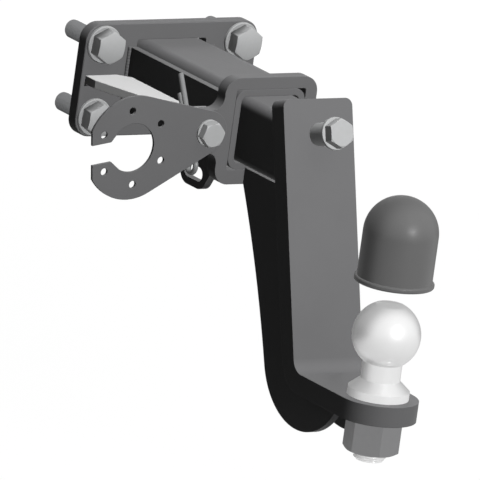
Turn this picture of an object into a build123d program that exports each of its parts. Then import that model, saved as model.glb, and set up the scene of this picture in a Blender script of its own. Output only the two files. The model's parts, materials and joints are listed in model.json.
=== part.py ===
"""Detachable towbar with a 50 mm ball: flange plate, square receiver, pinned drop arm, ball and ball cap.

The origin is the centre of the flange plate's mounting face, which bolts to the vehicle. X runs to the right,
Y towards the vehicle and Z up, so the ball stands out along -Y. All sizes are in millimetres.
"""

import os
from math import cos, radians, sin, sqrt, tan

from build123d import *

# Flange plate and its four bolts
PLATE_BORDER = 15.0
PLATE_T = 10.0
PLATE_CORNER_R = 13.0
BOLT_SPACING_X = 120.0
BOLT_SPACING_Z = 55.0
FLANGE_BOLT_D = 14.0
FLANGE_BOLT_AF = 22.0
FLANGE_HEAD_H = 10.0
FLANGE_WASHER_D = 28.0
FLANGE_WASHER_T = 2.5
FLANGE_BOLT_OUT = 32.8
FLANGE_SHANK_D = 12.7
FLANGE_HEX_TURN = 26.0
BOLT_HOLE_PLAY = 0.5

# Square receiver tube and its collar
TUBE_W = 60.0
TUBE_WALL = 5.0
TUBE_R = 9.0
RECEIVER_L = 143.5
CUTOUT_R = 2.0
WELD_GAP = 0.2
COLLAR_BORDER = 10.0
COLLAR_T = 10.0
COLLAR_R = 12.0
COLLAR_DROP = 1.0
COLLAR_EAR_H = 32.0
EAR_FILLET_R = 9.0

# Side plates with the chain eye on the left one
SIDE_T = 6.0
SIDE_TOP = 25.0
SIDE_BOTTOM = 25.0
EYE_DROP = 40.5
EYE_BACK = 38.9
EYE_FRONT = 25.8
EYE_SLOT_R = 5.3
EYE_RIM = 5.5
EYE_SLOPE = 30.0

# Flat gussets between the flange plate and the side plates
GUSSET_T = 6.0
GUSSET_MID_Z = 1.0
GUSSET_INSET = 3.4
GUSSET_PIN_GAP = 1.5
GUSSET_FLAT = 13.3
GUSSET_END_W = 11.0
GUSSET_SNIPE = 8.0

# Socket plate for the electrical plug, and the bolt that holds it
SOCKET_T = 2.0
SOCKET_REACH = 64.0
SOCKET_Z = -10.5
SOCKET_R = 39.0
SOCKET_CUT = 34.4
SOCKET_BORE_R = 18.3
SOCKET_SLOT_W = 15.0
SOCKET_LIP = 18.2
SOCKET_LIP_BEVEL = 5.0
SOCKET_HEX_TURN = 11.0
SOCKET_PCD = 56.0
SOCKET_HOLE_D = 5.6
SOCKET_HOLES = 6
SOCKET_BOLT_OUT = 22.0
SOCKET_BOLT_Z = -0.7
SOCKET_BOLT_D = 10.0
SOCKET_BOLT_AF = 17.0
SOCKET_HEAD_H = 6.4
SOCKET_WASHER_D = 20.0
SOCKET_WASHER_T = 2.0
SOCKET_NUT_H = 6.5
SOCKET_BOLT_END = 1.0

# Insert tube, drop arm and its two ribs
INSERT_PLAY = 0.3
INSERT_R = 7.0
INSERT_WALL = 5.0
INSERT_INSIDE = 70.0
ARM_W = 60.0
ARM_T = 15.0
ARM_LEAN = 18.0
ARM_TOP_OUT = 58.4
ARM_ABOVE_TUBE = 9.8
ARM_DROP = 186.7
ARM_CORNER_R = 6.0
TOE_SLACK = 0.01
BEND_R = 12.0
RIB_T = 6.0
RIB_INSET = 7.0
RIB_START = 12.8
RIB_HEEL = 11.3
RIB_R = 53.0
RIB_CENTRE_BACK = 7.3
RIB_CENTRE_DROP = 2.2
RIB_TANGENT = 21.0

# Clamp bolt through the arm, with its spacer sleeve
ARM_BOLT_D = 12.0
ARM_BOLT_AF = 19.0
ARM_BOLT_HEAD_H = 8.0
ARM_WASHER_D = 24.0
ARM_WASHER_T = 2.5
SLEEVE_D = 17.0
SLEEVE_L = 19.5
ARM_NUT_H = 10.0
ARM_NUT_GAP = 0.3
ARM_BOLT_END = 5.0
ARM_HEX_TURN = 30.0

# Tow ball with its stud and nut
BALL_D = 50.0
BALL_OUT = 184.0
BALL_H = 46.0
BALL_TOP_D = 20.6
NECK_D = 29.0
NECK_END = 33.0
FOOT_FLANGE_D = 45.0
FOOT_FLANGE_H = 6.0
STUD_D = 24.0
BALL_NUT_AF = 36.0
BALL_NUT_H = 26.0
BALL_NUT_TURN = 14.5
STUD_END = 6.5

# Rubber ball cap, shown lifted off the ball
CAP_WALL = 2.2
CAP_PLAY = 0.3
CAP_H = 65.0
CAP_RIM_D = 58.5
CAP_RIM_H = 4.0
CAP_BEAD_R = 1.4
CAP_LIFT = 76.0

# Hitch pin and its spring clip
PIN_D = 16.0
PIN_PLAY = 0.08
PIN_BACK = 28.0
PIN_Z = 2.0
PIN_OUT = 22.0
PIN_CHAMFER = 2.0
PIN_HEAD_D = 24.0
PIN_HEAD_T = 7.0
CLIP_D = 4.0
CLIP_FROM_TIP = 7.6
CLIP_PLAY = 0.25
CLIP_TILT = 30.4
CLIP_TOP = 33.0
CLIP_END = 39.5
CLIP_LOOP_R = 5.5
CLIP_HUG_GAP = 0.4
CLIP_LEG_GAP = 0.5
CLIP_SHOULDER = 14.0
CLIP_TIP = 9.0
CLIP_BEND_R = 4.0

EDGE = 0.6
HEX_CHAMFER = 28.0
CROWN_SHARE = 0.99

plate_w = BOLT_SPACING_X + 2 * PLATE_BORDER
plate_h = BOLT_SPACING_Z + 2 * PLATE_BORDER
collar_y = -RECEIVER_L
plate_front_y = -PLATE_T
tube_half = TUBE_W / 2
bore_w = TUBE_W - 2 * TUBE_WALL
cutout_w = TUBE_W + 2 * WELD_GAP
collar_w = TUBE_W + 2 * COLLAR_BORDER
side_x = tube_half + SIDE_T
socket_bolt_x = -tube_half - SOCKET_BOLT_OUT
socket_x = socket_bolt_x - SOCKET_REACH
insert_w = bore_w - 2 * INSERT_PLAY
insert_half = insert_w / 2
lean_s, lean_c = sin(radians(ARM_LEAN)), cos(radians(ARM_LEAN))
arm_top_z = tube_half + ARM_ABOVE_TUBE
foot_top_z = arm_top_z - ARM_DROP
foot_bottom_z = foot_top_z - ARM_T
ball_z = foot_top_z + BALL_H

# Side plane: local x runs forward from the collar's front face, local y is up, and the normal points left.
SIDE = Plane(origin=(0, collar_y, 0), x_dir=(0, -1, 0), z_dir=(-1, 0, 0))
# Front plane: local x is to the right, local y is up, and the normal points forward.
FRONT = Plane(origin=(0, 0, 0), x_dir=(1, 0, 0), z_dir=(0, -1, 0))

os.makedirs("parts", exist_ok=True)


def save(part, label):
    """Label a finished piece and write it as one STEP file."""
    part.label = label
    export_step(part, f"parts/{label}.step")


def ahead(forward, up=0.0):
    """A point of the side plane, given from the collar's front face and the tube's axis."""
    return (0, collar_y - forward, up)


def hex_piece(plane, across_flats, height, turn=0.0, both_ends=False):
    """A hexagon on a plane, with its corners turned off on its outer face or on both faces."""
    corner = across_flats / 2 / cos(radians(30))
    crown_r = across_flats / 2 * CROWN_SHARE
    crown_h = (corner - crown_r) * tan(radians(HEX_CHAMFER))
    if both_ends:
        lower = [(crown_r, 0), (corner, crown_h)]
    else:
        lower = [(corner, 0)]
    with BuildPart() as body:
        with BuildSketch():
            RegularPolygon(corner, 6, rotation=turn)
        extrude(amount=height)
        with BuildSketch(Plane.XZ):
            with BuildLine():
                upper = [(corner, height - crown_h), (crown_r, height)]
                Polyline((0, 0), *lower, *upper, (0, height), close=True)
            make_face()
        revolve(axis=Axis.Z, mode=Mode.INTERSECT)
    return body.part.moved(plane.location)


def flat_ring(plane, outer_d, inner_d, thickness):
    """A plain washer or sleeve standing on a plane."""
    with BuildPart() as ring:
        with BuildSketch(plane):
            Circle(outer_d / 2)
            Circle(inner_d / 2, mode=Mode.SUBTRACT)
        extrude(amount=thickness)
        chamfer(ring.edges().filter_by(GeomType.CIRCLE).sort_by(SortBy.RADIUS)[-2:], EDGE / 2)
    return ring.part


def four_corners():
    return GridLocations(BOLT_SPACING_X, BOLT_SPACING_Z, 2, 2)


# Flange plate: the receiver tube is welded into its square cut-out
with BuildPart() as mounting_plate:
    with BuildSketch(FRONT):
        RectangleRounded(plate_w, plate_h, PLATE_CORNER_R)
        RectangleRounded(cutout_w, cutout_w, CUTOUT_R, mode=Mode.SUBTRACT)
        with four_corners():
            Circle(FLANGE_BOLT_D / 2 + BOLT_HOLE_PLAY, mode=Mode.SUBTRACT)
    extrude(amount=PLATE_T)
    flats = mounting_plate.faces().filter_by(Axis.Y)
    chamfer([edge for face in flats for edge in face.outer_wire().edges()], EDGE)
save(mounting_plate.part, "mounting_plate")

# Flange bolts: head and washer on the front, a shank rolled down to the thread's pitch diameter in the plate,
# and the full thread standing out of the mounting face as a stud
washer_seat = FRONT.offset(PLATE_T)
head_seat = washer_seat.offset(FLANGE_WASHER_T)
for row, z in (("upper", BOLT_SPACING_Z / 2), ("lower", -BOLT_SPACING_Z / 2)):
    for side, x in (("left", -BOLT_SPACING_X / 2), ("right", BOLT_SPACING_X / 2)):
        seat = Plane(origin=(x, head_seat.origin.Y, z), x_dir=(1, 0, 0), z_dir=(0, -1, 0))
        head = hex_piece(seat, FLANGE_BOLT_AF, FLANGE_HEAD_H, FLANGE_HEX_TURN)
        with BuildPart() as flange_bolt:
            add(head)
            with BuildSketch(seat):
                Circle(FLANGE_SHANK_D / 2)
            extrude(amount=-(FLANGE_WASHER_T + PLATE_T))
            with BuildSketch(seat.offset(-(FLANGE_WASHER_T + PLATE_T))):
                Circle(FLANGE_BOLT_D / 2)
            extrude(amount=-FLANGE_BOLT_OUT)
            tip = flange_bolt.edges().filter_by(GeomType.CIRCLE).sort_by(Axis.Y)[-1]
            chamfer(tip, EDGE * 2)
        save(flange_bolt.part, f"flange_bolt_{row}_{side}")

with BuildPart() as flange_washers:
    with BuildSketch(washer_seat):
        with four_corners():
            Circle(FLANGE_WASHER_D / 2)
            Circle(FLANGE_BOLT_D / 2 + BOLT_HOLE_PLAY, mode=Mode.SUBTRACT)
    extrude(amount=FLANGE_WASHER_T)
    outer_rims = flange_washers.edges().filter_by(GeomType.CIRCLE).group_by(SortBy.RADIUS)[-1]
    chamfer(outer_rims.group_by(Axis.Y)[0], EDGE)
save(flange_washers.part, "flange_washers")

# Receiver tube, with the cross hole for the hitch pin
pin_line = Plane(origin=ahead(-PIN_BACK, PIN_Z), x_dir=(0, -1, 0), z_dir=(-1, 0, 0))
with BuildPart() as receiver_tube:
    with BuildSketch(FRONT):
        RectangleRounded(TUBE_W, TUBE_W, TUBE_R)
        RectangleRounded(bore_w, bore_w, TUBE_R - TUBE_WALL, mode=Mode.SUBTRACT)
    extrude(amount=RECEIVER_L)
    with BuildSketch(pin_line):
        Circle(PIN_D / 2 + PIN_PLAY)
    extrude(amount=TUBE_W, both=True, mode=Mode.SUBTRACT)
save(receiver_tube.part, "receiver_tube")

# Collar plate round the mouth of the receiver, with the ear that carries the socket plate
with BuildPart() as collar_plate:
    with BuildSketch(FRONT.offset(RECEIVER_L - COLLAR_T)):
        with Locations((0, -COLLAR_DROP)):
            RectangleRounded(collar_w, collar_w, COLLAR_R)
        with Locations((socket_bolt_x / 2, SOCKET_BOLT_Z)):
            Rectangle(-socket_bolt_x, COLLAR_EAR_H)
        with Locations((socket_bolt_x, SOCKET_BOLT_Z)):
            Circle(COLLAR_EAR_H / 2)
        RectangleRounded(cutout_w, cutout_w, CUTOUT_R, mode=Mode.SUBTRACT)
        with Locations((socket_bolt_x, SOCKET_BOLT_Z)):
            Circle(SOCKET_BOLT_D / 2 + BOLT_HOLE_PLAY, mode=Mode.SUBTRACT)
    extrude(amount=COLLAR_T)
    upright = collar_plate.edges().filter_by(Axis.Y)
    left_side = upright.filter_by(lambda e: abs(e.center().X + collar_w / 2) < EDGE)
    roots = left_side.filter_by(lambda e: abs(e.center().Z - SOCKET_BOLT_Z) < COLLAR_EAR_H / 2 + EDGE)
    fillet(roots, EAR_FILLET_R)
save(collar_plate.part, "collar_plate")


def side_outline(with_eye):
    """The side plate's outline, from the flange plate to the collar, with or without the chain eye."""
    rim_r = EYE_SLOT_R + EYE_RIM
    back = -(RECEIVER_L - PLATE_T)
    front = -COLLAR_T
    slope_s, slope_c = sin(radians(EYE_SLOPE)), cos(radians(EYE_SLOPE))
    leave = (-EYE_FRONT + rim_r * slope_c, -EYE_DROP - rim_r * slope_s)
    meet = (front, leave[1] + (front - leave[0]) / tan(radians(EYE_SLOPE)))
    if not with_eye:
        Polyline((back, SIDE_TOP), (front, SIDE_TOP), (front, -SIDE_BOTTOM), (back, -SIDE_BOTTOM), close=True)
        return
    Polyline(
        leave, meet, (front, SIDE_TOP), (back, SIDE_TOP), (back, -SIDE_BOTTOM),
        (-EYE_BACK - rim_r, -SIDE_BOTTOM), (-EYE_BACK - rim_r, -EYE_DROP),
    )
    RadiusArc((-EYE_BACK - rim_r, -EYE_DROP), (-EYE_BACK, -EYE_DROP - rim_r), -rim_r)
    Line((-EYE_BACK, -EYE_DROP - rim_r), (-EYE_FRONT, -EYE_DROP - rim_r))
    RadiusArc((-EYE_FRONT, -EYE_DROP - rim_r), leave, -rim_r)


# Side plates: they stiffen the receiver and double its wall at the pin
with BuildPart() as side_plate_left:
    with BuildSketch(SIDE.offset(tube_half)):
        with BuildLine():
            side_outline(with_eye=True)
        make_face()
        with Locations((-PIN_BACK, PIN_Z)):
            Circle(PIN_D / 2 + PIN_PLAY, mode=Mode.SUBTRACT)
        with Locations((-(EYE_BACK + EYE_FRONT) / 2, -EYE_DROP)):
            SlotCenterToCenter(EYE_BACK - EYE_FRONT, 2 * EYE_SLOT_R, mode=Mode.SUBTRACT)
    extrude(amount=SIDE_T)
save(side_plate_left.part, "side_plate_left")

with BuildPart() as side_plate_right:
    with BuildSketch(SIDE.offset(-tube_half)):
        with BuildLine():
            side_outline(with_eye=False)
        make_face()
        with Locations((-PIN_BACK, PIN_Z)):
            Circle(PIN_D / 2 + PIN_PLAY, mode=Mode.SUBTRACT)
    extrude(amount=-SIDE_T)
save(side_plate_right.part, "side_plate_right")

# Gussets: flat plates that brace the flange plate against the side plates
gusset_out = plate_w / 2 - GUSSET_INSET
gusset_end_y = collar_y + PIN_BACK + PIN_HEAD_D / 2 + GUSSET_PIN_GAP
for side, sign in (("left", -1), ("right", 1)):
    with BuildPart() as gusset:
        with BuildSketch(Plane.XY.offset(GUSSET_MID_Z - GUSSET_T / 2)):
            with BuildLine():
                Polyline(
                    (sign * (side_x + GUSSET_SNIPE), plate_front_y),
                    (sign * gusset_out, plate_front_y),
                    (sign * gusset_out, plate_front_y - GUSSET_FLAT),
                    (sign * (side_x + GUSSET_END_W), gusset_end_y),
                    (sign * side_x, gusset_end_y),
                    (sign * side_x, plate_front_y - GUSSET_SNIPE),
                    close=True,
                )
            make_face()
        extrude(amount=GUSSET_T)
    save(gusset.part, f"gusset_{side}")

# Socket plate: an open ring for a 7-pin or 13-pin socket, turned so that it points at its bolt
socket_line = Vector(SOCKET_REACH, SOCKET_BOLT_Z - SOCKET_Z)
socket_arm = socket_line.length
socket_turn = Vector(1, 0).get_signed_angle(socket_line, Vector(0, 0, 1))
socket_plane = Plane(
    origin=(socket_x, collar_y, SOCKET_Z),
    x_dir=(cos(radians(socket_turn)), 0, sin(radians(socket_turn))),
    z_dir=(0, -1, 0),
)
slot_half = SOCKET_SLOT_W / 2
lip_half = slot_half + SOCKET_LIP_BEVEL
lip_x = -sqrt(SOCKET_BORE_R**2 - lip_half**2)
with BuildPart() as socket_plate:
    with BuildSketch(socket_plane):
        Circle(SOCKET_R)
        with Locations((socket_arm, 0)):
            Circle(COLLAR_EAR_H / 2)
        make_hull()
        with Locations((-SOCKET_CUT - SOCKET_R, 0)):
            Rectangle(2 * SOCKET_R, 2 * SOCKET_R, mode=Mode.SUBTRACT)
        Circle(SOCKET_BORE_R, mode=Mode.SUBTRACT)
        with BuildLine():
            Polyline(
                (0, lip_half), (lip_x, lip_half), (-SOCKET_LIP, slot_half), (-SOCKET_R, slot_half),
                (-SOCKET_R, -slot_half), (-SOCKET_LIP, -slot_half), (lip_x, -lip_half), (0, -lip_half),
                close=True,
            )
        make_face(mode=Mode.SUBTRACT)
        with PolarLocations(SOCKET_PCD / 2, SOCKET_HOLES, start_angle=30):
            Circle(SOCKET_HOLE_D / 2, mode=Mode.SUBTRACT)
        with Locations((socket_arm, 0)):
            Circle(SOCKET_BOLT_D / 2 + BOLT_HOLE_PLAY, mode=Mode.SUBTRACT)
    extrude(amount=SOCKET_T)
save(socket_plate.part, "socket_plate")

# Bolt, washer and nut that clamp the socket plate to the collar's ear
socket_bolt_point = (socket_bolt_x, collar_y - SOCKET_T, SOCKET_BOLT_Z)
socket_seat = Plane(origin=socket_bolt_point, x_dir=(1, 0, 0), z_dir=(0, -1, 0))
socket_head_seat = socket_seat.offset(SOCKET_WASHER_T)
socket_nut_seat = socket_seat.offset(-SOCKET_T - COLLAR_T - SOCKET_NUT_H)
socket_grip = SOCKET_WASHER_T + SOCKET_T + COLLAR_T + SOCKET_NUT_H + SOCKET_BOLT_END
socket_head = hex_piece(socket_head_seat, SOCKET_BOLT_AF, SOCKET_HEAD_H, SOCKET_HEX_TURN)
with BuildPart() as socket_bolt:
    add(socket_head)
    with BuildSketch(socket_head_seat):
        Circle(SOCKET_BOLT_D / 2)
    extrude(amount=-socket_grip)
save(socket_bolt.part, "socket_bolt")
socket_washer = flat_ring(socket_seat, SOCKET_WASHER_D, SOCKET_BOLT_D + BOLT_HOLE_PLAY, SOCKET_WASHER_T)
save(socket_washer, "socket_washer")
socket_nut_body = hex_piece(socket_nut_seat, SOCKET_BOLT_AF, SOCKET_NUT_H, both_ends=True)
with BuildPart() as socket_nut:
    add(socket_nut_body)
    with BuildSketch(socket_nut_seat):
        Circle(SOCKET_BOLT_D / 2)
    extrude(amount=SOCKET_NUT_H, mode=Mode.SUBTRACT)
save(socket_nut.part, "socket_nut")

# Drop arm: one bent flat bar with a round foot, seen from the side and then trimmed in plan
face_top = (ARM_TOP_OUT, arm_top_z)
back_top = (ARM_TOP_OUT - ARM_T * lean_c, arm_top_z - ARM_T * lean_s)


def on_face(z, depth=0.0):
    """Forward reach of the leaning bar at height z, on its front face or on a parallel face behind it."""
    return ARM_TOP_OUT + (arm_top_z - z) * lean_s / lean_c - depth / lean_c


bend_z = foot_top_z + BEND_R
bend_u = on_face(bend_z) + BEND_R / lean_c
foot_end = BALL_OUT + ARM_W / 2
outer_r = BEND_R + ARM_T
inner_touch = (bend_u - BEND_R * lean_c, bend_z - BEND_R * lean_s)
outer_touch = (bend_u - outer_r * lean_c, bend_z - outer_r * lean_s)

# The arm's bolt stands square to the bar, as high as its nut fits under the insert tube's upper wall
nut_room_z = insert_half - INSERT_WALL - ARM_NUT_GAP
bolt_z = nut_room_z + ARM_T * lean_s - ARM_BOLT_AF / 2 * lean_c
arm_face = Plane(origin=ahead(on_face(bolt_z), bolt_z), x_dir=(1, 0, 0), z_dir=(0, -lean_c, lean_s))
with BuildPart() as drop_arm:
    with BuildSketch(SIDE):
        with BuildLine():
            Line(face_top, inner_touch)
            RadiusArc(inner_touch, (bend_u, foot_top_z), -BEND_R)
            Polyline(
                (bend_u, foot_top_z), (foot_end, foot_top_z),
                (foot_end, foot_bottom_z), (bend_u, foot_bottom_z),
            )
            RadiusArc((bend_u, foot_bottom_z), outer_touch, outer_r)
            Polyline(outer_touch, back_top, face_top)
        make_face()
    extrude(amount=ARM_W / 2, both=True)
    toe = drop_arm.edges().filter_by(Axis.Z).sort_by(Axis.Y)[:2]
    fillet(toe, ARM_W / 2 - TOE_SLACK)
    top_corners = drop_arm.edges().filter_by(lambda e: abs(e.length - ARM_T) < 0.01 and e.center().Z > 0)
    fillet(top_corners, ARM_CORNER_R)
    with BuildSketch(Plane(origin=ahead(BALL_OUT, foot_top_z), x_dir=(1, 0, 0), z_dir=(0, 0, 1))):
        Circle(STUD_D / 2 + BOLT_HOLE_PLAY)
    extrude(amount=-ARM_T, mode=Mode.SUBTRACT)
    with BuildSketch(arm_face):
        Circle(ARM_BOLT_D / 2 + BOLT_HOLE_PLAY)
    extrude(amount=-ARM_T, mode=Mode.SUBTRACT)
save(drop_arm.part, "drop_arm")

# Insert tube: slides in the receiver and is mitred to the back of the leaning bar
insert_cut = [
    (-INSERT_INSIDE, tube_half), (on_face(tube_half, ARM_T), tube_half),
    (on_face(-tube_half, ARM_T), -tube_half), (-INSERT_INSIDE, -tube_half),
]
with BuildPart() as insert_tube:
    with BuildSketch(FRONT.offset(RECEIVER_L - INSERT_INSIDE)):
        RectangleRounded(insert_w, insert_w, INSERT_R)
        hollow = insert_w - 2 * INSERT_WALL
        RectangleRounded(hollow, hollow, INSERT_R - INSERT_WALL, mode=Mode.SUBTRACT)
    extrude(amount=INSERT_INSIDE + BALL_OUT)
    with BuildSketch(SIDE):
        with BuildLine():
            Polyline(*insert_cut, close=True)
        make_face()
    extrude(amount=tube_half, both=True, mode=Mode.INTERSECT)
    with BuildSketch(pin_line):
        Circle(PIN_D / 2 + PIN_PLAY)
    extrude(amount=tube_half, both=True, mode=Mode.SUBTRACT)
save(insert_tube.part, "insert_tube")

# Ribs: two plates behind the bar, from under the insert tube to the rounded heel under the foot
heel_u = bend_u - RIB_CENTRE_BACK
heel_z = bend_z - RIB_CENTRE_DROP
touch_s, touch_c = sin(radians(RIB_TANGENT)), cos(radians(RIB_TANGENT))
rib_touch = (heel_u - RIB_R * touch_c, heel_z - RIB_R * touch_s)
rib_start_z = -insert_half - RIB_HEEL
rib_out = ARM_W / 2 - RIB_INSET
heel_end = (heel_u + sqrt(RIB_R**2 - (foot_bottom_z - heel_z) ** 2), foot_bottom_z)
for side, x in (("left", -rib_out), ("right", rib_out - RIB_T)):
    with BuildPart() as arm_rib:
        with BuildSketch(SIDE.offset(-x - RIB_T)):
            with BuildLine():
                Polyline(
                    (RIB_START, rib_start_z), (RIB_START, -insert_half),
                    (on_face(-insert_half, ARM_T), -insert_half), outer_touch,
                )
                RadiusArc(outer_touch, (bend_u, foot_bottom_z), -outer_r)
                Line((bend_u, foot_bottom_z), heel_end)
                ThreePointArc(heel_end, (heel_u, heel_z - RIB_R), rib_touch)
                TangentArc(rib_touch, (RIB_START, rib_start_z), tangent=(-touch_s, touch_c))
            make_face()
        extrude(amount=RIB_T)
    save(arm_rib.part, f"arm_rib_{side}")

# Clamp bolt of the arm: spacer sleeve, washer, bolt and the nut inside the insert tube
washer_plane = arm_face.offset(SLEEVE_L)
arm_head_seat = washer_plane.offset(ARM_WASHER_T)
arm_nut_seat = arm_face.offset(-ARM_T - ARM_NUT_H)
save(flat_ring(arm_face, SLEEVE_D, ARM_BOLT_D + BOLT_HOLE_PLAY, SLEEVE_L), "spacer_sleeve")
save(flat_ring(washer_plane, ARM_WASHER_D, ARM_BOLT_D + BOLT_HOLE_PLAY, ARM_WASHER_T), "arm_bolt_washer")
arm_head = hex_piece(arm_head_seat, ARM_BOLT_AF, ARM_BOLT_HEAD_H, ARM_HEX_TURN)
with BuildPart() as arm_bolt:
    add(arm_head)
    with BuildSketch(arm_head_seat):
        Circle(ARM_BOLT_D / 2)
    extrude(amount=-(ARM_WASHER_T + SLEEVE_L + ARM_T + ARM_NUT_H + ARM_BOLT_END))
save(arm_bolt.part, "arm_bolt")
arm_nut_body = hex_piece(arm_nut_seat, ARM_BOLT_AF, ARM_NUT_H, both_ends=True)
with BuildPart() as arm_bolt_nut:
    add(arm_nut_body)
    with BuildSketch(arm_nut_seat):
        Circle(ARM_BOLT_D / 2)
    extrude(amount=ARM_NUT_H, mode=Mode.SUBTRACT)
save(arm_bolt_nut.part, "arm_bolt_nut")

# Tow ball: ball, neck, flange and stud are one turned piece
ball_r = BALL_D / 2
neck_r = NECK_D / 2
flat_z = sqrt(ball_r**2 - (BALL_TOP_D / 2) ** 2)
neck_z = -sqrt(ball_r**2 - neck_r**2)
stud_tip = -BALL_H - ARM_T - BALL_NUT_H - STUD_END
ball_section = Plane(origin=ahead(BALL_OUT, ball_z), x_dir=(1, 0, 0), z_dir=(0, -1, 0))
with BuildPart() as tow_ball:
    with BuildSketch(ball_section):
        with BuildLine():
            Line((0, flat_z), (BALL_TOP_D / 2, flat_z))
            ThreePointArc((BALL_TOP_D / 2, flat_z), (ball_r, 0), (neck_r, neck_z))
            Polyline(
                (neck_r, neck_z), (neck_r, -NECK_END), (FOOT_FLANGE_D / 2, -BALL_H + FOOT_FLANGE_H),
                (FOOT_FLANGE_D / 2, -BALL_H), (STUD_D / 2, -BALL_H), (STUD_D / 2, stud_tip + EDGE * 2),
                (STUD_D / 2 - EDGE * 2, stud_tip), (0, stud_tip), (0, flat_z),
            )
        make_face()
    revolve(axis=Axis(ahead(BALL_OUT, ball_z), (0, 0, 1)))
save(tow_ball.part, "tow_ball")

ball_nut_seat = Plane(origin=ahead(BALL_OUT, foot_bottom_z - BALL_NUT_H), x_dir=(1, 0, 0), z_dir=(0, 0, 1))
ball_nut_body = hex_piece(ball_nut_seat, BALL_NUT_AF, BALL_NUT_H, BALL_NUT_TURN, both_ends=True)
with BuildPart() as ball_nut:
    add(ball_nut_body)
    with BuildSketch(ball_nut_seat):
        Circle(STUD_D / 2)
    extrude(amount=BALL_NUT_H, mode=Mode.SUBTRACT)
save(ball_nut.part, "ball_nut")

# Ball cap: a thin rubber dome with a bead round its mouth, lifted clear of the ball
cap_in_r = ball_r + CAP_PLAY
cap_out_r = cap_in_r + CAP_WALL
cap_straight = CAP_H - cap_out_r
cap_plane = Plane(
    origin=ahead(BALL_OUT, ball_z - cap_straight + CAP_LIFT), x_dir=(1, 0, 0), z_dir=(0, -1, 0),
)
with BuildPart() as ball_cap:
    with BuildSketch(cap_plane):
        with BuildLine():
            Polyline((0, CAP_H), (0, cap_straight + cap_in_r))
            RadiusArc((0, cap_straight + cap_in_r), (cap_in_r, cap_straight), cap_in_r)
            Polyline(
                (cap_in_r, cap_straight), (cap_in_r, 0), (CAP_RIM_D / 2, 0), (CAP_RIM_D / 2, CAP_RIM_H),
                (cap_out_r, CAP_RIM_H), (cap_out_r, cap_straight),
            )
            RadiusArc((cap_out_r, cap_straight), (0, CAP_H), -cap_out_r)
        make_face()
    revolve(axis=Axis(ahead(BALL_OUT, ball_z), (0, 0, 1)))
    rings = ball_cap.edges().filter_by(GeomType.CIRCLE)
    bead = rings.filter_by(lambda e: e.radius > (cap_out_r + CAP_RIM_D / 2) / 2)
    fillet(bead, CAP_BEAD_R)
save(ball_cap.part, "ball_cap")

# Hitch pin: a plain pin with a head on the right and a cross hole for the clip on the left
clip_dir = (0, -sin(radians(CLIP_TILT)), -cos(radians(CLIP_TILT)))
clip_x = -side_x - PIN_OUT + CLIP_FROM_TIP
clip_plane = Plane(origin=(clip_x, collar_y + PIN_BACK, PIN_Z), x_dir=clip_dir, z_dir=(-1, 0, 0))
head_start = side_x + INSERT_PLAY
with BuildPart() as hitch_pin:
    with BuildSketch(pin_line.offset(-head_start)):
        Circle(PIN_D / 2)
    extrude(amount=head_start + side_x + PIN_OUT)
    with BuildSketch(pin_line.offset(-head_start)):
        Circle(PIN_HEAD_D / 2)
    extrude(amount=-PIN_HEAD_T)
    ends = hitch_pin.edges().filter_by(GeomType.CIRCLE).sort_by(Axis.X)
    chamfer(ends[0], PIN_CHAMFER)
    chamfer(ends[-1], EDGE * 2)
    cross = Plane(origin=clip_plane.origin, x_dir=(1, 0, 0), z_dir=clip_dir)
    with BuildSketch(cross):
        Circle(CLIP_D / 2 + CLIP_PLAY)
    extrude(amount=PIN_D, both=True, mode=Mode.SUBTRACT)
save(hitch_pin.part, "hitch_pin")

# Spring clip: the straight leg goes through the pin and the other leg hugs it from the back
hug = PIN_D / 2 + CLIP_D / 2 + CLIP_HUG_GAP
beside = CLIP_D + CLIP_LEG_GAP
with BuildPart() as r_clip:
    with BuildLine(clip_plane) as wire:
        FilletPolyline(
            (-CLIP_TOP, 0),
            (CLIP_END, 0),
            (CLIP_END, -2 * CLIP_LOOP_R - EDGE / 10),
            (CLIP_END - CLIP_SHOULDER, -2 * CLIP_LOOP_R),
            (hug + CLIP_LEG_GAP * 5, -beside),
            (hug / 2, -hug),
            (-hug / 2, -hug),
            (-hug - CLIP_LEG_GAP, -beside),
            (-hug - CLIP_TIP, -beside - CLIP_LEG_GAP),
            radius=(CLIP_LOOP_R, CLIP_LOOP_R, 1.5 * CLIP_BEND_R) + 4 * (CLIP_BEND_R,),
        )
    with BuildSketch(Plane(origin=wire.line @ 0, z_dir=wire.line % 0)):
        Circle(CLIP_D / 2)
    sweep(path=wire.line)
save(r_clip.part, "r_clip")
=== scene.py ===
# %% [markdown]
# # A towbar with a drop arm, a pinned receiver and a ball cap
#
# The part is a welded towbar for a light vehicle: a flange plate, a square receiver tube, a bent drop arm
# that slides into it, and a 50 mm ball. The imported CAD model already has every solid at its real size, so
# this lesson gives those solids their finishes and adds what a CAD model leaves out: threads, weld beads, the
# texture of paint, zinc and rubber, the light and the camera.

import json
import math

import bmesh
import bpy
from mathutils import Matrix, Vector
from mathutils.bvhtree import BVHTree


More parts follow.
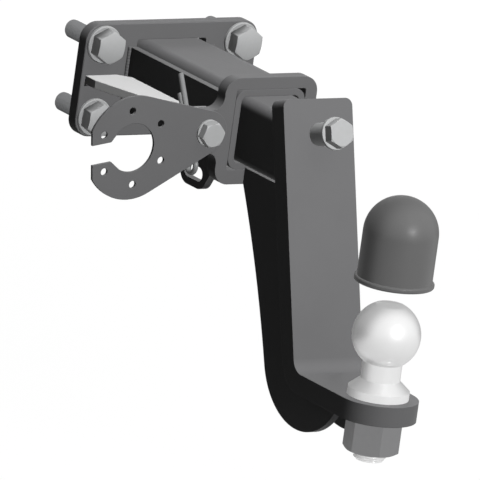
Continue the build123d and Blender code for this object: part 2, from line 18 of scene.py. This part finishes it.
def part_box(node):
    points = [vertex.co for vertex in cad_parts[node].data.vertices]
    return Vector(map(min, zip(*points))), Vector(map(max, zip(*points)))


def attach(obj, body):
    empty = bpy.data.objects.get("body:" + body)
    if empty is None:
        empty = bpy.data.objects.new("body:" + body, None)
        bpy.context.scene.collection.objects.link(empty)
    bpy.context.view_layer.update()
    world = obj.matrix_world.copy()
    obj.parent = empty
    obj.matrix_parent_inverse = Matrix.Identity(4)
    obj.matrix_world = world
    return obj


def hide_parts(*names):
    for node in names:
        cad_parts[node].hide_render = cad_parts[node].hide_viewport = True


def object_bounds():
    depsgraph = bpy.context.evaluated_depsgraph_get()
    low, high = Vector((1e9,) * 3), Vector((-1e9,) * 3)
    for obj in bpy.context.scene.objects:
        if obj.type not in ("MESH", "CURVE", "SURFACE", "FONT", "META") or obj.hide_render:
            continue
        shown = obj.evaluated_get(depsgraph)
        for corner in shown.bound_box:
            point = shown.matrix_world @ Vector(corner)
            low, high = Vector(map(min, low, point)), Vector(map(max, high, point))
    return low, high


MM = 0.001  # every length below is written in millimetres times MM, and Blender works in metres
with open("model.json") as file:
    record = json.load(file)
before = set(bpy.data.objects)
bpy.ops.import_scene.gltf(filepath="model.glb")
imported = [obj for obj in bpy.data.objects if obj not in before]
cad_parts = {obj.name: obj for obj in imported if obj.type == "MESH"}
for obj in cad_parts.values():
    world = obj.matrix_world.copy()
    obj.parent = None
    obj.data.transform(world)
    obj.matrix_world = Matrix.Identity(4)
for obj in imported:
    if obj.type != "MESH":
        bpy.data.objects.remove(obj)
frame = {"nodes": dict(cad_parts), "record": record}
cad_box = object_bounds()
print("nodes", len(frame["nodes"]), "box in mm", [[round(v / MM, 1) for v in corner] for corner in cad_box])

# %% [markdown]
# ## The camera
#
# The photograph looks at the bar from its front left, a little from above, with hardly any perspective, so a
# long lens far away fits it best. Its upright lines lean a few degrees, which is a roll of the camera. A
# camera could be aimed with a Track To constraint, but that can't hold the roll, so the three axes of the
# view are written down and made into a matrix.

# %% Camera
LENS = 1700.0
SENSOR = 36.0
FRAME_WIDTH = 347.6 * MM
FRAME_CENTRE = Vector((-17.8, -155.4, -79.7)) * MM
TOWARDS_CAMERA = Vector((-0.5585, -0.7917, 0.2475)).normalized()
PICTURE_UP = Vector((0.0249, 0.2763, 0.9608))

picture_right = PICTURE_UP.cross(TOWARDS_CAMERA).normalized()
picture_up = TOWARDS_CAMERA.cross(picture_right)
distance = FRAME_WIDTH / SENSOR * LENS
camera_data = bpy.data.cameras.new("long_lens")
camera_data.lens = LENS
camera_data.sensor_width = SENSOR
camera_data.clip_start = 1.0
camera_data.clip_end = 60.0
camera = bpy.data.objects.new("long_lens", camera_data)
bpy.context.scene.collection.objects.link(camera)
turn = Matrix((picture_right, picture_up, TOWARDS_CAMERA)).transposed().to_4x4()
camera.matrix_world = Matrix.Translation(FRAME_CENTRE + TOWARDS_CAMERA * distance) @ turn
bpy.context.scene.camera = camera
print("camera", round(distance, 3), "m away")

# %% [markdown]
# ## Nodes and colours
#
# Every material below is a small node tree. Two helpers keep them short: one adds a node with its settings
# and its links, and one turns a colour picked as sRGB hex into the linear numbers that a shader works with.


# %% Helpers for node trees
def linear(hex_colour):
    """An sRGB hex colour as linear RGBA."""
    shares = [int(hex_colour[i:i + 2], 16) / 255 for i in (1, 3, 5)]
    return tuple(c / 12.92 if c <= 0.04045 else ((c + 0.055) / 1.055) ** 2.4 for c in shares) + (1.0,)


def node(tree, kind, links=None, inputs=None, **settings):
    """Adds one node. links maps an input to the socket that feeds it, inputs maps an input to its value."""
    made = tree.nodes.new(kind)
    for name, value in settings.items():
        setattr(made, name, value)
    for name, value in (inputs or {}).items():
        made.inputs[name].default_value = value
    for name, socket in (links or {}).items():
        tree.links.new(socket, made.inputs[name])
    return made


def new_material(name):
    """An empty material with its output node."""
    made = bpy.data.materials.new(name)
    made.use_nodes = True
    made.node_tree.nodes.clear()
    return made, made.node_tree


# %% [markdown]
# ## The studio
#
# The camera sees a white ground everywhere. The part gets most of its light from in front and above and some
# from behind and the right, and hardly any from the left, so the faces that look left stay nearly black, as
# they do in the photograph. The ball and the satin paint need something to mirror, so reflections see a pale
# studio in front of the part that fades to a darker one behind it. An image of a studio could do that too,
# but a Map Range node is enough.

# %% World
BEHIND_Y = 0.45  # where the studio is darkest, as a direction from the part
BEFORE_Y = -0.25  # where it turns white
BEHIND = 0.40  # how pale reflections see it behind the part
AMBIENT = 0.03  # its light on the part, from all sides


def front_to_back(tree, along, near, far):
    """1 where a place or direction lies in front of the part, fading to BEHIND at its back."""
    return node(tree, "ShaderNodeMapRange", links={"Value": along},
                inputs={"From Min": far, "From Max": near, "To Min": BEHIND, "To Max": 1.0}).outputs[0]


world = bpy.data.worlds.new("studio")
bpy.context.scene.world = world
world.use_nodes = True
tree = world.node_tree
tree.nodes.clear()
path = node(tree, "ShaderNodeLightPath")
seen = node(tree, "ShaderNodeMath", operation="MAXIMUM", links={0: path.outputs["Is Glossy Ray"],
                                                               1: path.outputs["Is Transmission Ray"]})
where = node(tree, "ShaderNodeTexCoord")
split = node(tree, "ShaderNodeSeparateXYZ", links={0: where.outputs["Generated"]})
mirrored = node(tree, "ShaderNodeMix", data_type="FLOAT", inputs={2: AMBIENT},
                links={0: seen.outputs[0], 3: front_to_back(tree, split.outputs["Y"], BEFORE_Y, BEHIND_Y)})
shown = node(tree, "ShaderNodeMix", data_type="FLOAT", inputs={3: 1.0},
             links={0: path.outputs["Is Camera Ray"], 2: mirrored.outputs[0]})
sky = node(tree, "ShaderNodeBackground", inputs={"Color": linear("#ffffff")},
           links={"Strength": shown.outputs[0]})
node(tree, "ShaderNodeOutputWorld", links={"Surface": sky.outputs[0]})

# %% [markdown]
# ## The floor
#
# The part is bolted to a car and touches no ground, so the floor lies a little below it. A Light Path node
# makes it white paper to the camera and in reflections, and dark grey for all else, because white paper would
# throw light up at faces that are dark in the photograph.

# %% Floor
FLOOR_DROP = 45.0 * MM
FLOOR_REACH = 6.0  # metres
PAPER_SHOWN = 0.9  # share of its own white, the rest is lit by the lamps and takes the part's shadow
PAPER_BEHIND_Y = 0.05  # metres from the flange, as for the world
PAPER_BEFORE_Y = -0.25

paper, tree = new_material("white_paper_sweep")
path = node(tree, "ShaderNodeLightPath")
seen = node(tree, "ShaderNodeMath", operation="MAXIMUM", links={0: path.outputs["Is Camera Ray"],
                                                               1: path.outputs["Is Glossy Ray"]})
tone = node(tree, "ShaderNodeMix", data_type="RGBA", inputs={6: linear("#383838"), 7: linear("#f2f2f2")},
            links={0: path.outputs["Is Camera Ray"]})
matt = node(tree, "ShaderNodeBsdfDiffuse", links={"Color": tone.outputs[2]})
place = node(tree, "ShaderNodeTexCoord")
split = node(tree, "ShaderNodeSeparateXYZ", links={0: place.outputs["Object"]})
pale = node(tree, "ShaderNodeMix", data_type="FLOAT", inputs={3: 1.0},
            links={0: path.outputs["Is Camera Ray"],
                   2: front_to_back(tree, split.outputs["Y"], PAPER_BEFORE_Y, PAPER_BEHIND_Y)})
lit = node(tree, "ShaderNodeEmission", inputs={"Color": linear("#ffffff")},
           links={"Strength": pale.outputs[0]})
share = node(tree, "ShaderNodeMath", operation="MULTIPLY", inputs={1: PAPER_SHOWN},
             links={0: seen.outputs[0]})
mixed = node(tree, "ShaderNodeMixShader", links={0: share.outputs[0], 1: matt.outputs[0], 2: lit.outputs[0]})
node(tree, "ShaderNodeOutputMaterial", links={"Surface": mixed.outputs[0]})

floor_z = cad_box[0].z - FLOOR_DROP
floor_mesh = bpy.data.meshes.new("floor")
corners = [(-FLOOR_REACH, -FLOOR_REACH), (FLOOR_REACH, -FLOOR_REACH), (FLOOR_REACH, FLOOR_REACH),
           (-FLOOR_REACH, FLOOR_REACH)]
floor_mesh.from_pydata([(x, y, floor_z) for x, y in corners], [], [(0, 1, 2, 3)])
floor_mesh.materials.append(paper)
floor = bpy.data.objects.new("floor", floor_mesh)
bpy.context.scene.collection.objects.link(floor)
print("floor", round(floor_z / MM), "mm from the flange's centre")

# %% [markdown]
# ## Lamps
#
# Four square area lamps light the part. The two large ones, in front and behind, cast soft shadows. The front
# fill is the strongest and casts none, because the photograph has none. The smallest is seen in reflections
# and makes the bright spots on the cap and the ball. The photograph also shows no light that bounces from one
# piece to the next, so the diffuse bounces are switched off.

# %% Lamps
LAMP_DISTANCE = 2.5
PLAIN_POWER = math.pi ** 2 * LAMP_DISTANCE ** 2  # watts that show a white card as plain white


def soft_box(name, direction, level, size, shadows, gleams=False):
    """A square lamp aimed at the part. A level of 1 shows a white card that faces it as plain white, and only
    a lamp that gleams is seen in reflections."""
    data = bpy.data.lights.new(name, "AREA")
    data.energy = PLAIN_POWER * level
    data.size = size
    data.use_shadow = shadows
    lamp = bpy.data.objects.new(name, data)
    lamp.visible_glossy = gleams
    away = Vector(direction).normalized()
    lamp.location = FRAME_CENTRE + away * LAMP_DISTANCE
    lamp.rotation_euler = away.to_track_quat("Z", "Y").to_euler()
    bpy.context.scene.collection.objects.link(lamp)
    print(name, round(data.energy), "W")


soft_box("high_front_box", (0.15, -0.55, 0.84), 0.10, 1.8, shadows=True)
soft_box("front_fill", (0.05, -0.60, 0.79), 1.12, 0.5, shadows=False)
soft_box("rear_box", (0.45, 0.82, 0.33), 0.73, 1.2, shadows=True)
soft_box("gleam_box", (0.04, -0.94, 0.33), 0.12, 0.22, shadows=False, gleams=True)
bpy.context.scene.cycles.diffuse_bounces = 0

# %% [markdown]
# ## Black powder coat
#
# The plates, tubes and ribs are steel with a baked powder coat. Powder melts into a skin with a fine orange
# peel, about a millimetre and a half from bump to bump, and it draws thin at sharp edges. The photograph
# shows it as a dark neutral grey with a satin sheen. The orange peel is a noise bump, and a Bevel node rounds
# the edges by half a millimetre for the light only, which costs no geometry. The gussets have the same skin
# in a pale primer grey. The Scale of a Noise texture is the number of its bumps in a metre, so it is one
# divided by their real size.

# %% Powder coat
CLOUD = 40 * MM  # width of the faint clouds in a sprayed coat
COAT_EDGE = 0.5 * MM  # radius to which the coat rounds an edge
COAT_BUMP = 0.15 * MM  # height of the orange peel
NOISE_LOW, NOISE_HIGH = 0.3, 0.7  # nearly all of a Noise texture's values lie between these
EDGE_SAMPLES = 6


def satin_paint(name, hex_colour, peel_mm=1.5, roughness=0.45, spread=0.06):
    """Sprayed and baked paint: one tone that varies by a few percent, orange peel and softened edges."""
    made, tree = new_material(name)
    place = node(tree, "ShaderNodeTexCoord")
    cloud = node(tree, "ShaderNodeTexNoise", links={"Vector": place.outputs["Object"]},
                 inputs={"Scale": 1 / CLOUD, "Detail": 3.0, "Roughness": 0.55})
    peel = node(tree, "ShaderNodeTexNoise", links={"Vector": place.outputs["Object"]},
                inputs={"Scale": 1 / (peel_mm * MM), "Detail": 2.0, "Roughness": 0.5})
    dark = [c * (1 - spread) for c in linear(hex_colour)[:3]] + [1.0]
    pale = [c * (1 + spread) for c in linear(hex_colour)[:3]] + [1.0]
    tone = node(tree, "ShaderNodeMix", data_type="RGBA", inputs={6: dark, 7: pale},
                links={0: cloud.outputs["Fac"]})
    satin = node(tree, "ShaderNodeMapRange", links={"Value": cloud.outputs["Fac"]},
                 inputs={"From Min": NOISE_LOW, "From Max": NOISE_HIGH,
                         "To Min": roughness - 0.05, "To Max": roughness + 0.05})
    edge = node(tree, "ShaderNodeBevel", samples=EDGE_SAMPLES, inputs={"Radius": COAT_EDGE})
    bump = node(tree, "ShaderNodeBump", inputs={"Strength": 0.10, "Distance": COAT_BUMP},
                links={"Height": peel.outputs["Fac"], "Normal": edge.outputs["Normal"]})
    # A matting agent in the powder takes away most of the gloss
    body = node(tree, "ShaderNodeBsdfPrincipled", inputs={"IOR": 1.5, "Specular IOR Level": 0.08},
                links={"Base Color": tone.outputs[2], "Roughness": satin.outputs[0],
                       "Normal": bump.outputs["Normal"]})
    node(tree, "ShaderNodeOutputMaterial", links={"Surface": body.outputs[0]})
    return made


black_powder_coat = satin_paint("black_powder_coat", "#6e6e6f")
pale_primer = satin_paint("pale_grey_primer", "#dedede", peel_mm=1.2, roughness=0.5, spread=0.03)

# %% [markdown]
# ## Zinc, steel and chrome
#
# The bolts, washers and pin are bright zinc plated. Zinc comes out of the bath as a soft metal grey with faint
# patches a few millimetres wide. The ball's nut is plain steel, darker and with the marks of its cold
# forging. The ball is turned and chromed, so it shows the white studio with only the finest turning marks.
# A mirror finish would show sharp pictures, and the photograph shows soft greys, so all of them are rough,
# and part of each is a plain diffuse grey.

# %% Metals
METAL_EDGE = 0.3 * MM  # radius to which a worn or plated edge is rounded


def metal(name, hex_low, hex_high, patch_mm, roughness, swing, grain_mm, grain_depth, shine=1.0):
    """A bare or plated metal: two close tones in patches, a roughness that follows them, and a fine grain.
    shine is the share that mirrors, and the rest is diffuse."""
    made, tree = new_material(name)
    place = node(tree, "ShaderNodeTexCoord")
    patch = node(tree, "ShaderNodeTexNoise", links={"Vector": place.outputs["Object"]},
                 inputs={"Scale": 1 / (patch_mm * MM), "Detail": 4.0, "Roughness": 0.6})
    grain = node(tree, "ShaderNodeTexNoise", links={"Vector": place.outputs["Object"]},
                 inputs={"Scale": 1 / (grain_mm * MM), "Detail": 2.0})
    tone = node(tree, "ShaderNodeMix", data_type="RGBA", links={0: patch.outputs["Fac"]},
                inputs={6: linear(hex_low), 7: linear(hex_high)})
    gloss = node(tree, "ShaderNodeMapRange", links={"Value": patch.outputs["Fac"]},
                 inputs={"From Min": NOISE_LOW, "From Max": NOISE_HIGH,
                         "To Min": roughness - swing, "To Max": roughness + swing})
    edge = node(tree, "ShaderNodeBevel", samples=EDGE_SAMPLES, inputs={"Radius": METAL_EDGE})
    bump = node(tree, "ShaderNodeBump", inputs={"Strength": 0.2, "Distance": grain_depth * MM},
                links={"Height": grain.outputs["Fac"], "Normal": edge.outputs["Normal"]})
    body = node(tree, "ShaderNodeBsdfPrincipled", inputs={"Metallic": shine},
                links={"Base Color": tone.outputs[2], "Roughness": gloss.outputs[0],
                       "Normal": bump.outputs["Normal"]})
    node(tree, "ShaderNodeOutputMaterial", links={"Surface": body.outputs[0]})
    return made


bright_zinc = metal("bright_zinc_plate", "#acadad", "#b7b8b9", 4.0, 0.46, 0.06, 0.8, 0.06, shine=0.2)
# The thread is the same zinc as the heads, darkened as painted shade for the studs behind the plate, which
# face away from the light.
painted_shade_thread_zinc = metal("zinc_with_painted_shade_on_thread", "#757677", "#828384", 2.0, 0.50, 0.06, 0.8, 0.06, shine=0.3)
spring_wire = metal("drawn_spring_wire", "#848586", "#8f9090", 3.0, 0.42, 0.05, 0.5, 0.04, shine=0.3)
forged_steel = metal("forged_plain_steel", "#848485", "#949495", 6.0, 0.48, 0.07, 0.9, 0.10, shine=0.7)
chromed_steel = metal("turned_and_chromed_steel", "#f0f0f0", "#f5f5f5", 20.0, 0.36, 0.03, 0.6, 0.01,
                      shine=0.82)

# %% [markdown]
# ## Rubber
#
# The cap is moulded in soft rubber. A mould gives it an even skin with a fine grain and a broad sheen, and
# wax blooms on it in faint clouds. A middling roughness with a little bump does that, and no pattern is
# needed.

# %% Rubber
RUBBER_GRAIN = 0.7 * MM
RUBBER_BLOOM = 18 * MM
RUBBER_BUMP = 0.08 * MM
BLOOM_SPREAD = 0.07


def moulded_rubber(name, hex_colour):
    """Moulded rubber with a grain of a fraction of a millimetre."""
    made, tree = new_material(name)
    place = node(tree, "ShaderNodeTexCoord")
    grain = node(tree, "ShaderNodeTexNoise", links={"Vector": place.outputs["Object"]},
                 inputs={"Scale": 1 / RUBBER_GRAIN, "Detail": 3.0})
    bloom = node(tree, "ShaderNodeTexNoise", links={"Vector": place.outputs["Object"]},
                 inputs={"Scale": 1 / RUBBER_BLOOM, "Detail": 3.0})
    dark = [c * (1 - BLOOM_SPREAD) for c in linear(hex_colour)[:3]] + [1.0]
    pale = [c * (1 + BLOOM_SPREAD) for c in linear(hex_colour)[:3]] + [1.0]
    tone = node(tree, "ShaderNodeMix", data_type="RGBA", inputs={6: dark, 7: pale},
                links={0: bloom.outputs["Fac"]})
    bump = node(tree, "ShaderNodeBump", inputs={"Strength": 0.15, "Distance": RUBBER_BUMP},
                links={"Height": grain.outputs["Fac"]})
    body = node(tree, "ShaderNodeBsdfPrincipled",
                inputs={"Roughness": 0.38, "IOR": 1.5, "Specular IOR Level": 1.0},
                links={"Base Color": tone.outputs[2], "Normal": bump.outputs["Normal"]})
    node(tree, "ShaderNodeOutputMaterial", links={"Surface": body.outputs[0]})
    return made


cap_rubber = moulded_rubber("moulded_cap_rubber", "#535353")

# %% [markdown]
# ## Every solid gets its finish
#
# The record names a material slot for each node, so one table from slots to materials dresses the whole
# part. The spring clip shares the bolts' slot, but it is drawn wire and a little darker, so it has its own
# finish. No piece shows in another one's shine in the photograph, so the solids are left out of reflections.

# %% Give every solid its finish
FINISH = {
    "black_paint": black_powder_coat,
    "grey_paint": pale_primer,
    "zinc_plate": bright_zinc,
    "nut_steel": forged_steel,
    "polished_steel": chromed_steel,
    "cap_rubber": cap_rubber,
}
OWN_FINISH = {"r_clip": spring_wire}
slot_of = {row["node"]: row["material_slot"] for row in frame["record"]["subparts"]}
for name, solid in frame["nodes"].items():
    solid.data.materials.clear()
    solid.data.materials.append(OWN_FINISH.get(name, FINISH[slot_of[name]]))
    solid.visible_glossy = False
print("finished", len(slot_of), "solids")

# %% [markdown]
# ## Threads
#
# The flange's four bolts end in studs, and the ball ends in one below its nut. They carry a real thread,
# which the CAD model leaves as a plain rod. A screw thread is a cylinder whose radius follows a wave along
# its length, shifted by one pitch for each turn. So one grid of points, with that wave as its radius, makes
# the whole thread as a closed mesh. A Screw modifier could spin a profile, but would need a cut at each end.

# %% A threaded rod
THREAD_SLOT = 1  # the thread is the second material of its piece
THREAD_DEPTH = 0.6  # share of the pitch
FLAT_CREST = 0.12  # share of half a pitch, and so is the flank
FLANK = 0.7
TIP_DROP = 0.7  # share of the pitch by which the tip is thinner than the crest


def thread_radius(along, angle, crest, pitch):
    """Radius of a metric thread at a place along the rod, with flat crests and roots."""
    depth = THREAD_DEPTH * pitch
    phase = (along / pitch - angle / (2 * math.pi)) % 1.0
    slope = abs(2 * phase - 1)
    share = min(1.0, max(0.0, (slope - FLAT_CREST) / FLANK))
    return crest - depth * share


def threaded_rod(bm, place, length, crest, pitch, around=40, rows_per_turn=8):
    """Adds a rod of that length along local Z, with its tip turned down at 45 degrees."""
    rows = int(length / pitch * rows_per_turn)
    rings = []
    for i in range(rows + 1):
        along = length * i / rows
        tip = crest - TIP_DROP * pitch + (length - along)
        ring = []
        for k in range(around):
            angle = 2 * math.pi * k / around
            radius = min(thread_radius(along, angle, crest, pitch), tip)
            point = Vector((radius * math.cos(angle), radius * math.sin(angle), along))
            ring.append(bm.verts.new(place @ point))
        rings.append(ring)
    for lower, upper in zip(rings, rings[1:]):
        for k in range(around):
            n = (k + 1) % around
            made = bm.faces.new((lower[k], lower[n], upper[n], upper[k]))
            made.smooth = True
            made.material_index = THREAD_SLOT
    for ring in (list(reversed(rings[0])), rings[-1]):
        bm.faces.new(ring).material_index = THREAD_SLOT


# %% Copies of CAD solids
SAME_POINT = 0.002 * MM  # a CAD node is loose triangles, whose corners meet within this
CUT_SLACK = 0.001 * MM
BOLT_EDGE = math.radians(30)  # a bend above this stays sharp


def merged(name):
    """A bmesh of a CAD solid with its loose triangles joined."""
    bm = bmesh.new()
    bm.from_mesh(frame["nodes"][name].data)
    bmesh.ops.remove_doubles(bm, verts=bm.verts, dist=SAME_POINT)
    return bm


def cut_copy(name, point, direction):
    """A bmesh of a CAD solid without what lies beyond a plane. The cut is closed with a face."""
    bm = merged(name)
    bmesh.ops.bisect_plane(bm, geom=bm.verts[:] + bm.edges[:] + bm.faces[:], dist=CUT_SLACK,
                           plane_co=point, plane_no=direction, clear_outer=True)
    rim = [e for e in bm.edges if e.is_boundary]
    bmesh.ops.holes_fill(bm, edges=rim)
    for face in bm.faces:
        face.smooth = True
    return bm


def finish_mesh(bm, name, materials, flat_angle):
    """Turns a bmesh into a piece with its place in its mesh, smooth apart from its sharp edges."""
    bmesh.ops.recalc_face_normals(bm, faces=bm.faces)
    mesh = bpy.data.meshes.new(name)
    bm.to_mesh(mesh)
    bm.free()
    mesh.set_sharp_from_angle(angle=flat_angle)
    for material in materials:
        mesh.materials.append(material)
    piece = bpy.data.objects.new(name, mesh)
    bpy.context.scene.collection.objects.link(piece)
    return piece


# %% A bolt or stud with its end threaded
TOWARDS_VEHICLE = Vector((0, 1, 0))
DOWN = Vector((0, 0, -1))


def thread_end(name, centre, direction, length, crest, pitch, materials, flat_angle=BOLT_EDGE):
    """Replaces a CAD solid by a copy that carries a thread from a point on its axis outwards."""
    bm = cut_copy(name, centre, direction)
    place = Matrix.Translation(centre) @ direction.to_track_quat("Z", "Y").to_matrix().to_4x4()
    threaded_rod(bm, place, length, crest, pitch)
    piece = finish_mesh(bm, f"threaded_{name}", materials, flat_angle)
    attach(piece, "towbar")
    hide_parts(name)
    print(piece.name, "has", round(length / pitch, 1), "turns of thread")


# %% Bolts of the flange
FLANGE_CREST = 7.0 * MM  # an M14 thread
FLANGE_PITCH = 2.0 * MM
for row in ("upper", "lower"):
    for side_name in ("left", "right"):
        name = f"flange_bolt_{row}_{side_name}"
        low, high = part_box(name)
        axis = Vector(((low.x + high.x) / 2, 0.0, (low.z + high.z) / 2))
        # The thread takes the zinc darkened as painted shade.
        thread_end(name, axis, TOWARDS_VEHICLE, high.y, FLANGE_CREST, FLANGE_PITCH,
                   [bright_zinc, painted_shade_thread_zinc])

# %% Stud of the ball, below its nut
STUD_CREST = 12.0 * MM  # an M24 thread
STUD_PITCH = 3.0 * MM
STUD_IN_NUT = 3.0 * MM  # the thread starts this far inside the nut
BALL_EDGE = math.radians(15)  # the edges of the ball's flat and neck are shallow and stay sharp
low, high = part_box("tow_ball")
stud_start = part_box("ball_nut")[0].z + STUD_IN_NUT
axis = Vector(((low.x + high.x) / 2, (low.y + high.y) / 2, stud_start))
thread_end("tow_ball", axis, DOWN, stud_start - low.z, STUD_CREST, STUD_PITCH,
           [chromed_steel, chromed_steel], flat_angle=BALL_EDGE)

# %% [markdown]
# ## Weld beads
#
# The frame is held together by arc welds. A hand weld is a rounded bead with a ripple for each pause of the
# torch, about two millimetres apart, and it lies in the corner where two pieces meet. The corners can be read
# from the frame: they are the sharp edges of one solid that touch the other. Geometry Nodes then lay the bead
# along those edges, because one tree serves every seam, and its radius can follow a wave along the curve.


# %% Find the seams
SEAM_REACH = 0.3 * MM  # welded solids meet within this
SHARP = math.radians(30)  # a smaller bend is part of a round and no edge


def seam(edged, carrier, wanted):
    """Edges of one solid that lie on another, as pairs of points. wanted picks them by their middle."""
    bm = merged(edged)
    ground = merged(carrier)
    tree = BVHTree.FromBMesh(ground)
    found = []
    for edge in bm.edges:
        if len(edge.link_faces) != 2 or edge.calc_face_angle() < SHARP:
            continue
        ends = [vert.co.copy() for vert in edge.verts]
        middle = (ends[0] + ends[1]) / 2
        touching = all(tree.find_nearest(p, SEAM_REACH)[0] is not None for p in ends + [middle])
        if touching and wanted(middle):
            found.append(ends)
    bm.free()
    ground.free()
    return found


half_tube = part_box("receiver_tube")[1].x
plate_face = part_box("mounting_plate")[0].y
collar_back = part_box("collar_plate")[1].y
side_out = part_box("side_plate_right")[1].x
gusset_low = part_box("gusset_right")[0].z
insert_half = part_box("insert_tube")[1].x
NEAR = 0.1 * MM


def above_or_below(p, y):
    """On the straight top or bottom of the receiver, at one place along it."""
    return abs(p.y - y) < NEAR and abs(p.z) > half_tube - MM


def on_outside(p, y):
    """On the outer face of a side plate, at one place along it."""
    return abs(p.y - y) < NEAR and abs(p.x) > side_out - NEAR


seams = seam("mounting_plate", "receiver_tube", lambda p: above_or_below(p, plate_face))
seams += seam("collar_plate", "receiver_tube", lambda p: above_or_below(p, collar_back))
for hand in ("left", "right"):
    side_plate = f"side_plate_{hand}"
    gusset = f"gusset_{hand}"
    rib = f"arm_rib_{hand}"
    seams += seam(side_plate, "mounting_plate", lambda p: on_outside(p, plate_face))
    seams += seam(side_plate, "collar_plate", lambda p: on_outside(p, collar_back))
    seams += seam(gusset, "mounting_plate", lambda p: p.z < gusset_low + NEAR)
    seams += seam(gusset, side_plate, lambda p: p.z < gusset_low + NEAR)
    seams += seam(rib, "drop_arm", lambda p: True)
seams += seam("insert_tube", "drop_arm", lambda p: max(abs(p.x), abs(p.z)) > insert_half - MM)
print("seams", len(seams), "edges,", round(sum((b - a).length for a, b in seams) / MM), "mm of weld")

# %% Node tree for a bead
BEAD_R = 2.0 * MM
RIPPLE_LENGTH = 2.2 * MM
RIPPLE_RISE = 0.16  # share of the radius by which a ripple grows before the next one starts
BEAD_STEP = 0.44 * MM
WANDER = 0.25 * MM  # how far a hand leaves the line
WANDER_LENGTH = 9 * MM
WANDER_SEED = 4.0
BEAD_SIDES = 10


def bead_tree():
    """Geometry Nodes: edges in, one rippled closed bead for each run of edges out."""
    tree = bpy.data.node_groups.new("weld_bead", "GeometryNodeTree")
    sockets = tree.interface
    sockets.new_socket(name="Seams", in_out="INPUT", socket_type="NodeSocketGeometry")
    for title, value in (("Bead radius", BEAD_R), ("Ripple length", RIPPLE_LENGTH),
                         ("Ripple rise", RIPPLE_RISE), ("Step", BEAD_STEP), ("Wander", WANDER),
                         ("Seed", WANDER_SEED)):
        sockets.new_socket(name=title, in_out="INPUT", socket_type="NodeSocketFloat").default_value = value
    sockets.new_socket(name="Paint", in_out="INPUT", socket_type="NodeSocketMaterial")
    sockets.new_socket(name="Beads", in_out="OUTPUT", socket_type="NodeSocketGeometry")
    given = node(tree, "NodeGroupInput").outputs
    line = node(tree, "GeometryNodeMeshToCurve", links={"Mesh": given["Seams"]})
    steps = node(tree, "GeometryNodeResampleCurve", mode="LENGTH", links={"Curve": line.outputs[0],
                                                                        "Length": given["Step"]})
    spot = node(tree, "GeometryNodeInputPosition")
    blur = node(tree, "ShaderNodeTexNoise", noise_dimensions="4D",
                inputs={"Scale": 1 / WANDER_LENGTH, "Detail": 1.0},
                links={"Vector": spot.outputs[0], "W": given["Seed"]})
    centred = node(tree, "ShaderNodeVectorMath", operation="SUBTRACT", inputs={1: (0.5, 0.5, 0.5)},
                   links={0: blur.outputs["Color"]})
    offset = node(tree, "ShaderNodeVectorMath", operation="SCALE", links={0: centred.outputs[0],
                                                                         "Scale": given["Wander"]})
    moved = node(tree, "GeometryNodeSetPosition", links={"Geometry": steps.outputs[0],
                                                         "Offset": offset.outputs[0]})
    along = node(tree, "GeometryNodeSplineParameter")
    turns = node(tree, "ShaderNodeMath", operation="DIVIDE", links={0: along.outputs["Length"],
                                                                   1: given["Ripple length"]})
    part = node(tree, "ShaderNodeMath", operation="FRACT", links={0: turns.outputs[0]})
    rise = node(tree, "ShaderNodeMath", operation="MULTIPLY", links={0: part.outputs[0],
                                                                    1: given["Ripple rise"]})
    swell = node(tree, "ShaderNodeMath", operation="ADD", inputs={1: 1 - RIPPLE_RISE / 2},
                 links={0: rise.outputs[0]})
    radius = node(tree, "GeometryNodeSetCurveRadius", links={"Curve": moved.outputs[0],
                                                             "Radius": swell.outputs[0]})
    round_line = node(tree, "GeometryNodeCurvePrimitiveCircle", inputs={"Resolution": BEAD_SIDES},
                      links={"Radius": given["Bead radius"]})
    width = node(tree, "GeometryNodeInputRadius")
    bead = node(tree, "GeometryNodeCurveToMesh", inputs={"Fill Caps": True},
                links={"Curve": radius.outputs[0], "Profile Curve": round_line.outputs[0],
                       "Scale": width.outputs[0]})
    real = node(tree, "GeometryNodeRealizeInstances", links={"Geometry": bead.outputs[0]})
    painted = node(tree, "GeometryNodeSetMaterial", links={"Geometry": real.outputs[0],
                                                           "Material": given["Paint"]})
    node(tree, "NodeGroupOutput", links={"Beads": painted.outputs[0]})
    return tree


# %% Lay the beads
SEAM_JOIN = 0.01 * MM  # seam edges whose ends meet within this become one run

bm = bmesh.new()
for start, end in seams:
    bm.edges.new((bm.verts.new(start), bm.verts.new(end)))
bmesh.ops.remove_doubles(bm, verts=bm.verts, dist=SEAM_JOIN)
seam_mesh = bpy.data.meshes.new("seams")
bm.to_mesh(seam_mesh)
bm.free()
line_work = bpy.data.objects.new("seams", seam_mesh)
bpy.context.scene.collection.objects.link(line_work)
layer = line_work.modifiers.new("beads", "NODES")
layer.node_group = bead_tree()
for item in layer.node_group.interface.items_tree:
    if item.in_out == "INPUT" and item.name == "Paint":
        layer[item.identifier] = black_powder_coat
evaluated = line_work.evaluated_get(bpy.context.evaluated_depsgraph_get())
bead_mesh = bpy.data.meshes.new_from_object(evaluated)
line_work.modifiers.clear()
bpy.data.objects.remove(line_work)
bead_mesh.name = "weld_beads"
bead_mesh.shade_smooth()
beads = bpy.data.objects.new("weld_beads", bead_mesh)
bpy.context.scene.collection.objects.link(beads)
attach(beads, "towbar")
print("beads", len(bead_mesh.polygons), "faces", [m.name for m in bead_mesh.materials])

# %% [markdown]
# ## The end
#
# The dressed part has to be as large as the solids were. The Standard view shows the colours as they were
# picked.

# %% The end
bpy.context.scene.view_settings.view_transform = "Standard"
